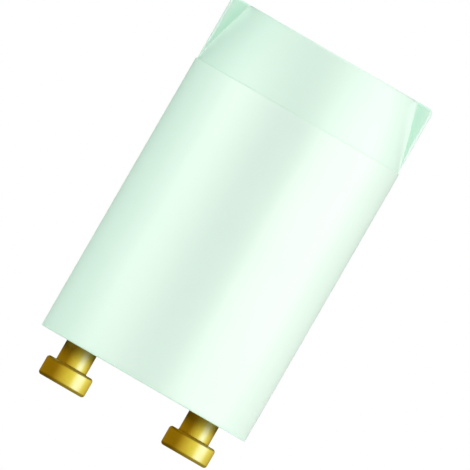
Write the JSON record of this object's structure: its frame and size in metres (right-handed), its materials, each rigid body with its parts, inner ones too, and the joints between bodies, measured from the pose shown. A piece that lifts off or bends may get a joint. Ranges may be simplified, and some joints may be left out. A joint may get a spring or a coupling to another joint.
{
  "type": "fluorescent lamp starter",
  "caption": "Cylindrical glow starter for a fluorescent lamp: moulded cap with a conical finned grip, and headed brass contact pins on the insulating base.",
  "frame": {"origin": "on the housing's axis, in the plane of the contact pins' flat end faces", "axes": "+Z along the housing's axis from the pins towards the grip, +X from the left pin to the right pin, in the plane of the fins"},
  "size_m": [0.021, 0.021, 0.0382],
  "materials": {
    "moulded_housing": "semi-gloss white with a mint tint",
    "moulded_base": "matte off-white",
    "brass": "turned, satin",
    "tin_solder": "bright solder",
    "clear_glass": "clear blown glass",
    "bimetal": "rolled strip",
    "nickel_wire": "drawn wire",
    "capacitor_film": "dipped, semi-gloss amber"
  },
  "bodies": {
    "root": {"housing": "moulded_housing", "base_plate": "moulded_base", "contact_pin_left": "brass", "contact_pin_right": "brass", "solder_left": "tin_solder", "solder_right": "tin_solder", "glow_bulb_envelope": "clear_glass", "glow_bulb_stem": "clear_glass", "bimetal_strip": "bimetal", "fixed_electrode": "nickel_wire", "bulb_lead_left": "nickel_wire", "bulb_lead_right": "nickel_wire", "capacitor_body": "capacitor_film", "capacitor_lead_left": "nickel_wire", "capacitor_lead_right": "nickel_wire"}
  },
  "joints": []
}
